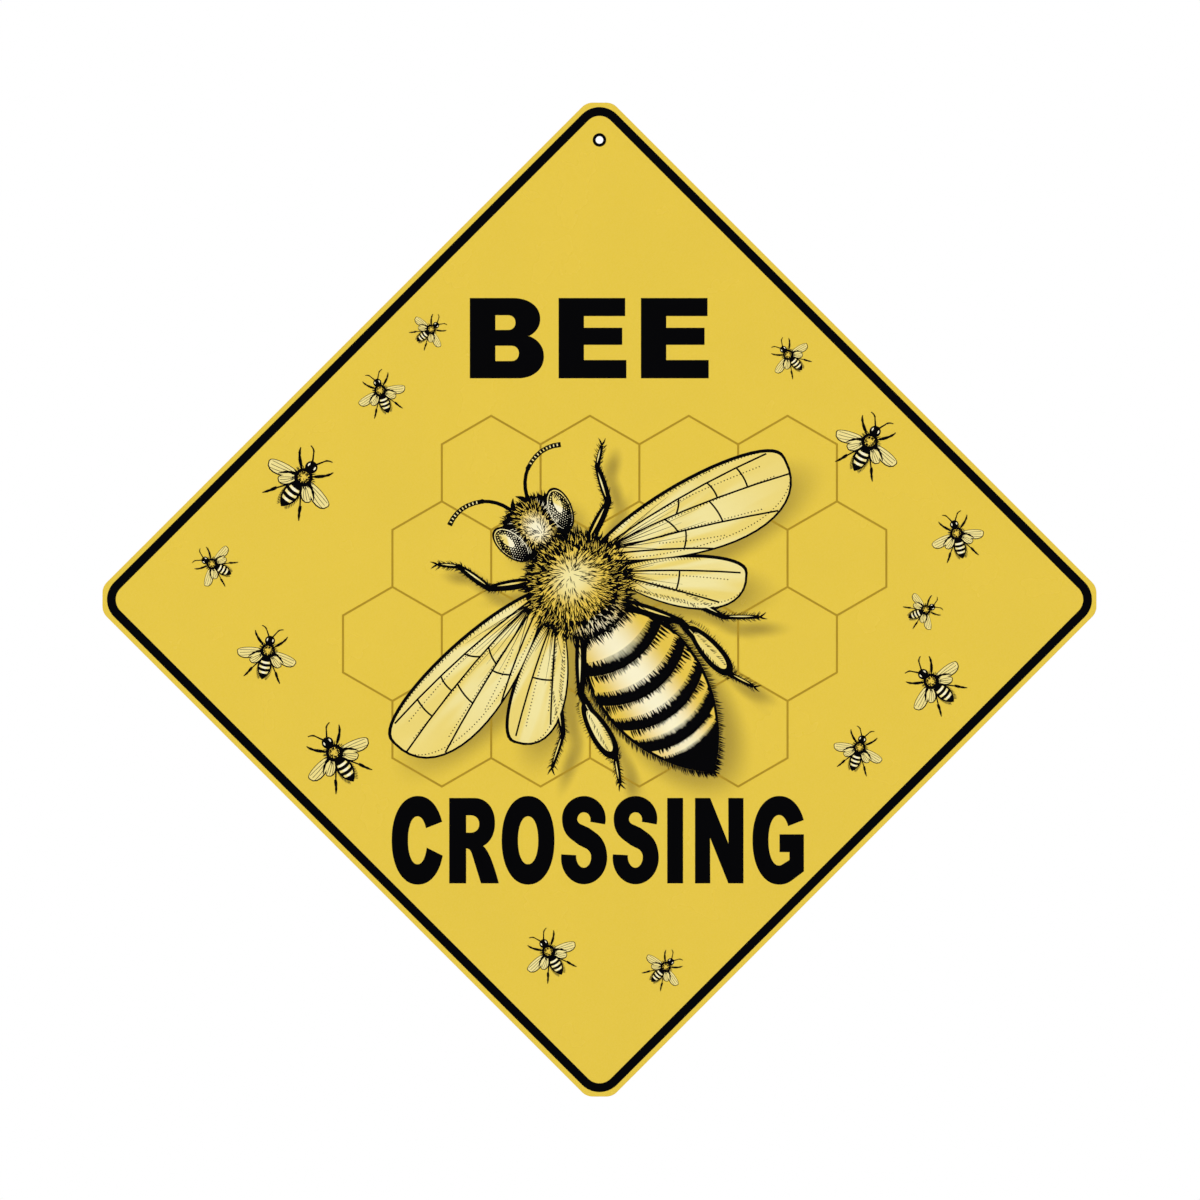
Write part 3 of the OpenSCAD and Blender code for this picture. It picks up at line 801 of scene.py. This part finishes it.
def make_coat_grain():
    """Uneven coat of paint or ink: Mottle drifts over centimetres, Grain is the fine tooth of the
    print, and Peel is the long low ripple of a coat that flowed before it set."""
    sockets = [("Point", "NodeSocketVector", None), ("Mottle Scale", "NodeSocketFloat", 40.0),
               ("Grain Scale", "NodeSocketFloat", 2500.0), ("Peel Scale", "NodeSocketFloat", 500.0)]
    results = [(label, "NodeSocketFloat") for label in ("Mottle", "Grain", "Peel")]
    tree, given, made = shader_group("coat_grain", sockets, results)
    for label, detail in (("Mottle", 4.0), ("Grain", 2.0), ("Peel", 1.0)):
        tree.links.new(noise(tree, given["Point"], given[label + " Scale"], detail), made[label])
    return tree


def make_bee_axes():
    """Places on the sheet in millimetres on the large bee's own axes: x across it, z ahead."""
    sockets = [("Point", "NodeSocketVector", None)]
    tree, given, made = shader_group("bee_axes", sockets, [("Place", "NodeSocketVector")])
    inputs = {
        "Vector": given["Point"], "Location": on_sheet(BEE_POS, 0),
        "Rotation": (0, -BEE_LEAN, 0), "Scale": (MM, MM, MM),
    }
    mapping = add_node(tree, "ShaderNodeMapping", inputs, vector_type="TEXTURE")
    tree.links.new(mapping.outputs[0], made["Place"])
    return tree


def make_soft_spot():
    """A soft-edged ellipse: the place is moved to the centre, turned back, divided by the radii,
    and its length falls smoothly from 1 inside to 0 outside."""
    sockets = [("Place", "NodeSocketVector", None), ("Centre", "NodeSocketVector", None),
               ("Radii", "NodeSocketVector", None), ("Turn", "NodeSocketFloat", 0.0),
               ("Softness", "NodeSocketFloat", 0.2)]
    tree, given, made = shader_group("soft_spot", sockets, [("Mask", "NodeSocketFloat")])
    ends = {0: given["Place"], 1: given["Centre"]}
    moved = add_node(tree, "ShaderNodeVectorMath", ends, operation="SUBTRACT")
    inputs = {"Vector": moved.outputs[0], "Angle": given["Turn"]}
    back = add_node(tree, "ShaderNodeVectorRotate", inputs, rotation_type="Y_AXIS")
    ends = {0: back.outputs[0], 1: given["Radii"]}
    share = add_node(tree, "ShaderNodeVectorMath", ends, operation="DIVIDE").outputs[0]
    reach = length_of(tree, share)
    inner = maths(tree, "SUBTRACT", 1.0, given["Softness"])
    outer = maths(tree, "ADD", 1.0, given["Softness"])
    outside = ramp(tree, reach, inner, outer)
    tree.links.new(maths(tree, "SUBTRACT", 1.0, outside), made["Mask"])
    return tree


coat_grain = make_coat_grain()
bee_axes = make_bee_axes()
soft_spot = make_soft_spot()


# Colours and finishes

# What a glossy coat adds to every colour in front of white surroundings
GLOSS_LIFT = 0.030


def linear(red, green, blue, lift=0.0):
    """A colour from 0 to 255 as Blender's linear one, less what the gloss adds to it."""
    value = np.array([red, green, blue]) / 255
    value = np.where(value <= 0.04045, value / 12.92, ((value + 0.055) / 1.055) ** 2.4)
    return (*np.maximum(value - lift, 0.0), 1.0)


YELLOW = linear(229, 198, 71, GLOSS_LIFT)
YELLOW_SHADED = linear(168, 144, 56, GLOSS_LIFT)
CREAM = linear(249, 241, 205, GLOSS_LIFT)
PALE_STRAW = linear(242, 229, 162, GLOSS_LIFT)
STRAW = linear(236, 213, 118, GLOSS_LIFT)
GOLD = linear(228, 195, 78, GLOSS_LIFT)
COMB_BROWN = linear(170, 138, 28)
BLACK = (0.0004, 0.0004, 0.0008, 1.0)
BARE_METAL = (0.76, 0.77, 0.78, 1.0)
DULL_METAL = (0.60, 0.61, 0.62, 1.0)


def new_material(name, **plain):
    """A material with one Principled shader and its plain values, and its tree."""
    material = bpy.data.materials.new(name)
    material.use_nodes = True
    tree = material.node_tree
    tree.nodes.clear()
    shader = add_node(tree, "ShaderNodeBsdfPrincipled", plain)
    output = tree.nodes.new("ShaderNodeOutputMaterial")
    tree.links.new(shader.outputs[0], output.inputs["Surface"])
    point = tree.nodes.new("ShaderNodeTexCoord").outputs["Object"]
    return material, tree, shader, point


def set_bump(tree, shader, height, distance):
    """Bump at half strength from a height, whose full range stands for a distance in metres."""
    inputs = {"Height": height, "Distance": distance, "Strength": 0.5}
    tree.links.new(add_node(tree, "ShaderNodeBump", inputs).outputs[0], shader.inputs["Normal"])


# Radius of a spot along the sheet's thickness, so large that depth counts for nothing
FLAT = 1e6


def spot(tree, place, centre, radii, softness, turn=0.0):
    """Mask of a soft ellipse at a place on the sheet."""
    return placed_group(tree, soft_spot, {
        "Place": place, "Centre": (centre[0], 0, centre[1]), "Radii": (radii[0], FLAT, radii[1]),
        "Turn": turn, "Softness": softness,
    })["Mask"]


# How far the soft shadow that is printed under the large bee lies from it, how wide its edge is
# to each side, at most as a share of a spot's radius, and how deep it is
SHADOW_DROP = (5.5, -5.0)
SHADOW_BLUR, SHADOW_BLUR_MOST = 5.0, 0.9
SHADOW_DEPTH = 0.92


def shadow_spots():
    """Ellipses under the body, the wings and the legs, on the bee's axes, moved by the drop."""
    drop = turned(np.array(SHADOW_DROP), -BEE_LEAN)
    spots = [
        ((0, ABDOMEN_Y), (ABDOMEN_W * 0.51, ABDOMEN_L * 0.50), 0),
        ((0, 0), (22, 22), 0),
        ((0, HEAD_Y), (16, 12.5), 0),
    ]
    for s in BOTH:
        for wing in (FRONT_WING, HIND_WING):
            middle = np.array((wing["length"] * 0.52 * s, -wing["width"] * 0.14))
            centre = turned(middle, wing["turn"] * s) + np.array(wing["root"]) * (s, 1)
            spots.append((centre, (wing["length"] * 0.47, wing["width"] * 0.44), wing["turn"] * s))
        for joints in LEGS:
            for a, b in zip(joints[:-1], joints[1:]):
                a, b = a * (s, 1), b * (s, 1)
                span = b - a
                turn = math.atan2(span[1], span[0])
                spots.append(((a + b) / 2, (float(np.linalg.norm(span)) * 0.62, 2.6), turn))
    return [(np.array(centre) + drop, radii, turn) for centre, radii, turn in spots]


def printed_shadow(tree, place):
    """One minus the product of what each spot lets through, so that spots that overlap blend."""
    light = 1.0
    for centre, radii, turn in shadow_spots():
        mask = spot(tree, place, centre, radii, min(SHADOW_BLUR / min(radii), SHADOW_BLUR_MOST), turn)
        light = maths(tree, "MULTIPLY", light, maths(tree, "SUBTRACT", 1.0, mask))
    return maths(tree, "SUBTRACT", 1.0, light)


# Depths behind the front between which the enamel ends, how far that line wanders, and the height
# of the ripple in the enamel and of the tooth of the inks
ENAMEL_GONE, ENAMEL_WHOLE = 0.20 * MM, 0.14 * MM
ENAMEL_WANDER = 0.12 * MM
ENAMEL_RIPPLE = 0.03 * MM
INK_TOOTH = 0.012 * MM


def make_yellow_enamel():
    """Yellow enamel on the front and over its broken edge, bare rolled aluminium on the sheared
    rim and the back, and the soft shadow of the large bee printed on the front."""
    material, tree, shader, point = new_material("yellow_enamel", **{"Specular IOR Level": 0.5})
    parts = add_node(tree, "ShaderNodeSeparateXYZ", {0: point})
    edge_wander = maths(tree, "MULTIPLY", noise(tree, point, 900.0), ENAMEL_WANDER)
    depth = maths(tree, "ADD", parts.outputs["Y"], edge_wander)
    painted = ramp(tree, depth, FRONT + ENAMEL_GONE, FRONT + ENAMEL_WHOLE)
    scales = {"Point": point, "Mottle Scale": 30.0, "Grain Scale": 1800.0, "Peel Scale": 420.0}
    coat = placed_group(tree, coat_grain, scales)
    place = placed_group(tree, bee_axes, {"Point": point})["Place"]
    shade = maths(tree, "MULTIPLY", printed_shadow(tree, place), SHADOW_DEPTH)
    paint = mixed(tree, shade, YELLOW, YELLOW_SHADED)
    uneven = between(tree, 0.5, coat["Mottle"], coat["Grain"])
    tint = add_node(tree, "ShaderNodeHueSaturation", {
        "Color": paint, "Value": between(tree, uneven, 0.955, 1.045),
        "Saturation": between(tree, coat["Grain"], 1.02, 0.98),
    }).outputs[0]
    rolled = add_node(tree, "ShaderNodeMapping", {"Vector": point, "Scale": (14.0, 900.0, 900.0)}).outputs[0]
    streak = noise(tree, rolled, 1.0, detail=4.0, roughness=0.65)
    cloud = noise(tree, point, 22.0, detail=3.0)
    worn = between(tree, 0.25, streak, cloud)
    metal = mixed(tree, ramp(tree, worn, 0.30, 0.70), DULL_METAL, BARE_METAL)
    colour = mixed(tree, painted, metal, tint)
    tree.links.new(colour, shader.inputs["Base Color"])
    tree.links.new(maths(tree, "SUBTRACT", 1.0, painted), shader.inputs["Metallic"])
    metal_rough = between(tree, worn, 0.30, 0.52)
    paint_rough = between(tree, coat["Mottle"], 0.20, 0.32)
    tree.links.new(between(tree, painted, metal_rough, paint_rough), shader.inputs["Roughness"])
    height = between(tree, painted, streak, coat["Peel"])
    set_bump(tree, shader, height, ENAMEL_RIPPLE)
    return material


def make_ink(name, colour, level, roughness, variation):
    """Screen ink: a plain colour that drifts a little, with a fine tooth and a satin gloss."""
    material, tree, shader, point = new_material(name, **{"Specular IOR Level": level})
    scales = {"Point": point, "Mottle Scale": 60.0, "Grain Scale": 3200.0, "Peel Scale": 700.0}
    coat = placed_group(tree, coat_grain, scales)
    strength = between(tree, coat["Mottle"], 1 - variation, 1 + variation)
    shown = colour(tree, point) if callable(colour) else colour
    tint = add_node(tree, "ShaderNodeHueSaturation", {"Color": shown, "Value": strength})
    tree.links.new(tint.outputs[0], shader.inputs["Base Color"])
    rough = between(tree, coat["Grain"], roughness - 0.06, roughness + 0.08)
    tree.links.new(rough, shader.inputs["Roughness"])
    set_bump(tree, shader, maths(tree, "ADD", coat["Grain"], coat["Peel"]), INK_TOOTH)
    return material


# Where the large bee's colours go over into each other: the wings' straw and gold by the distance
# from the thorax, the waist and the neck along the body, and the eyes across it
STRAW_REACH = (45.0, 115.0)
GOLD_REACH = (32.0, 21.0)
WAIST_EDGE = (-14.0, -15.5)
NECK_EDGE = (HEAD_Y - 11.0, HEAD_Y - 10.0)
EYE_EDGE = (6.5, 8.0)


def bee_cream(tree, point):
    """Straw wings with soft streaks of gold that run out from the thorax, and a gold body that is
    lit to cream along the middle of the abdomen, behind the neck and between the eyes."""
    place = placed_group(tree, bee_axes, {"Point": point})["Place"]
    parts = add_node(tree, "ShaderNodeSeparateXYZ", {0: place})
    across, ahead = parts.outputs["X"], parts.outputs["Z"]
    reach = length_of(tree, add_node(tree, "ShaderNodeCombineXYZ", {"X": across, "Z": ahead}).outputs[0])
    angle = maths(tree, "MULTIPLY", maths(tree, "ARCTAN2", across, ahead), 9.0)
    spoke = add_node(tree, "ShaderNodeCombineXYZ", {"X": angle, "Y": maths(tree, "MULTIPLY", reach, 0.02)})
    streak = ramp(tree, noise(tree, spoke.outputs[0], 1.0, 1.0), 0.40, 0.62)
    wing = mixed(tree, streak, PALE_STRAW, STRAW)
    wing = mixed(tree, ramp(tree, reach, *STRAW_REACH), wing, STRAW)
    wing = mixed(tree, ramp(tree, reach, *GOLD_REACH), wing, GOLD)
    stripes = mixed(tree, spot(tree, place, (-2.5, ABDOMEN_Y + 4), (9.0, 60.0), 0.85), GOLD, CREAM)
    chest = mixed(tree, spot(tree, place, (0, 3.5), (8.0, 7.0), 0.8), GOLD, PALE_STRAW)
    face = mixed(tree, spot(tree, place, (0, HEAD_Y - 1), (4.5, 5.5), 0.8), GOLD, CREAM)
    eyes = ramp(tree, maths(tree, "ABSOLUTE", across), *EYE_EDGE)
    face = mixed(tree, eyes, face, CREAM)
    body = mixed(tree, ramp(tree, ahead, *WAIST_EDGE), chest, stripes)
    body = mixed(tree, ramp(tree, ahead, *NECK_EDGE), body, face)
    on_body = maths(tree, "MAXIMUM",
                    spot(tree, place, (0, ABDOMEN_Y), (24.5, 43.0), 0.03),
                    spot(tree, place, (0, 7.5), (18.0, 36.0), 0.03))
    return mixed(tree, on_body, wing, body)


def swarm_straw(tree, point):
    """Straw that drifts a little from one small bee to the next."""
    return mixed(tree, noise(tree, point, 28.0, 1.0), STRAW, PALE_STRAW)


yellow_enamel = make_yellow_enamel()
black_ink = make_ink("black_ink", BLACK, 0.02, 0.42, 0.25)
brown_ink = make_ink("brown_ink", COMB_BROWN, 0.15, 0.45, 0.12)
bee_cream_ink = make_ink("bee_cream_ink", bee_cream, 0.4, 0.38, 0.03)
straw_ink = make_ink("straw_ink", swarm_straw, 0.4, 0.38, 0.04)
light_ink = make_ink("light_ink", CREAM, 0.4, 0.38, 0.03)
gold_ink = make_ink("gold_ink", GOLD, 0.4, 0.38, 0.06)

CAD_FINISHES = {
    "sign_sheet": yellow_enamel,
    "border_print": black_ink,
    "hole_ring_print": black_ink,
    "honeycomb_print": brown_ink,
    "bee_black_print": black_ink,
    "bee_pale_print": bee_cream_ink,
    "swarm_black_print": black_ink,
    "swarm_pale_print": straw_ink,
}
for node_name, finish in CAD_FINISHES.items():
    for material_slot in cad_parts[node_name].material_slots:
        material_slot.material = finish

# New pieces
ink_piece("word_bee", word_parts(UPPER_WORD, UPPER_BASE), black_ink)
ink_piece("word_crossing", word_parts(LOWER_WORD, LOWER_BASE), black_ink)
for part_name, (dark_marks, pale_marks) in {
    "thorax": thorax_marks(),
    "head": head_marks(),
    "abdomen": abdomen_marks(),
    "legs": leg_marks(),
}.items():
    ink_piece(part_name + "_dark_lines", dark_marks, black_ink)
    ink_piece(part_name + "_pale_lines", pale_marks, bee_cream_ink)
ink_piece("eye_facets", eye_marks(), bee_cream_ink)
ink_piece("feeler_ticks", feeler_marks(), bee_cream_ink)
ink_piece("shin_hatching", shin_marks(), black_ink)
ink_piece("front_wing_dots", wing_marks(FRONT_WING, FRONT_ROWS, 11), black_ink)
ink_piece("hind_wing_dots", wing_marks(HIND_WING, HIND_ROWS, 8), black_ink)
ink_piece("swarm_dark_lines", [*swarm_fur(), *swarm_limbs(), swarm_veins()], black_ink)
ink_piece("swarm_lights", swarm_lights(), light_ink)
ink_piece("swarm_chests", [swarm_chests()], gold_ink)

# Floor, lamps, surroundings and camera
FLOOR_DROP = 0.75
FLOOR_R = 3.0
FLOOR_SIDES = 96
FLOOR_FADE = (0.9, 2.4)
FLOOR_COLOUR = (0.90, 0.90, 0.89, 1.0)
WHITE = (1.0, 1.0, 1.0, 1.0)
AMBIENT = 0.60
LAMP_DISTANCE = 4.0


def make_floor():
    """A pale disc under the sign that fades to the white of the surroundings at its rim."""
    angle = np.arange(FLOOR_SIDES) * 2 * math.pi / FLOOR_SIDES
    ring = np.stack([FLOOR_R * np.cos(angle), FLOOR_R * np.sin(angle), np.zeros(FLOOR_SIDES)], axis=1)
    mesh = bpy.data.meshes.new("floor")
    mesh.from_pydata(ring + (0, 0, CENTRE_Z - FLOOR_DROP), [], [list(range(FLOOR_SIDES))])
    floor = bpy.data.objects.new("floor", mesh)
    bpy.context.scene.collection.objects.link(floor)
    plain = {"Base Color": FLOOR_COLOUR, "Roughness": 0.9, "Specular IOR Level": 0.1}
    material, tree, shader, point = new_material("pale_floor", **plain)
    flat = add_node(tree, "ShaderNodeVectorMath", {0: point, 1: (1, 1, 0)}, operation="MULTIPLY").outputs[0]
    share = ramp(tree, length_of(tree, flat), *FLOOR_FADE)
    white = add_node(tree, "ShaderNodeEmission", {"Color": WHITE, "Strength": 1.0})
    fade = add_node(tree, "ShaderNodeMixShader", {0: share, 1: shader.outputs[0], 2: white.outputs[0]})
    output = next(node for node in tree.nodes if node.type == "OUTPUT_MATERIAL")
    tree.links.new(fade.outputs[0], output.inputs["Surface"])
    mesh.materials.append(material)


def softbox(name, azimuth, elevation, size, share):
    """A square lamp that faces the sign. Its power is the share of full light that it gives to a
    white card square to it: power = share x pi^2 x distance^2."""
    a, e = math.radians(azimuth), math.radians(elevation)
    towards = np.array([math.sin(a) * math.cos(e), -math.cos(a) * math.cos(e), math.sin(e)])
    light = bpy.data.lights.new(name, "AREA")
    light.size = size
    light.energy = share * math.pi ** 2 * LAMP_DISTANCE ** 2
    lamp = bpy.data.objects.new(name, light)
    lamp.location = towards * LAMP_DISTANCE + (CENTRE_X, 0, CENTRE_Z)
    lamp.rotation_euler = (math.pi / 2 - e, 0, a)
    lamp.visible_camera = False
    bpy.context.scene.collection.objects.link(lamp)


def make_surroundings():
    """White to the camera and in reflections, and a plain soft light to everything else."""
    world = bpy.data.worlds.new("white_surroundings")
    world.use_nodes = True
    tree = world.node_tree
    tree.nodes.clear()
    path = tree.nodes.new("ShaderNodeLightPath").outputs
    seen = maths(tree, "MAXIMUM", path["Is Camera Ray"], path["Is Glossy Ray"])
    seen = maths(tree, "MAXIMUM", seen, path["Is Transmission Ray"])
    strength = between(tree, seen, AMBIENT, 1.0)
    background = add_node(tree, "ShaderNodeBackground", {"Color": WHITE, "Strength": strength})
    output = tree.nodes.new("ShaderNodeOutputWorld")
    tree.links.new(background.outputs[0], output.inputs["Surface"])
    bpy.context.scene.world = world


# The photograph's frame: its scale, and where the middle of the sheet lies in it
PHOTO_WIDTH = 1200
PHOTO_MM_PER_PIXEL = 0.42256
PHOTO_SHEET_MIDDLE = (599.46, 599.59)
CAMERA_DISTANCE = 3.0
SENSOR = 36.0


def make_camera():
    """Square to the sheet, with the photograph's frame at the sheet's front."""
    camera = bpy.data.cameras.new("camera")
    camera.sensor_width = SENSOR
    camera.lens = SENSOR * CAMERA_DISTANCE / (PHOTO_WIDTH * PHOTO_MM_PER_PIXEL * MM)
    camera.clip_end = 50
    eye = bpy.data.objects.new("camera", camera)
    right = (PHOTO_WIDTH / 2 - PHOTO_SHEET_MIDDLE[0]) * PHOTO_MM_PER_PIXEL * MM
    down = (PHOTO_WIDTH / 2 - PHOTO_SHEET_MIDDLE[1]) * PHOTO_MM_PER_PIXEL * MM
    eye.location = (CENTRE_X + right, FRONT - CAMERA_DISTANCE, CENTRE_Z - down)
    eye.rotation_euler = (math.pi / 2, 0, 0)
    bpy.context.scene.collection.objects.link(eye)
    bpy.context.scene.camera = eye


make_floor()
softbox("key_softbox", -34, 28, 2.2, 0.30)
softbox("fill_softbox", 42, 8, 2.6, 0.18)
softbox("rear_softbox", 205, 30, 2.4, 0.40)
make_surroundings()
make_camera()
bpy.context.scene.view_settings.view_transform = "Standard"
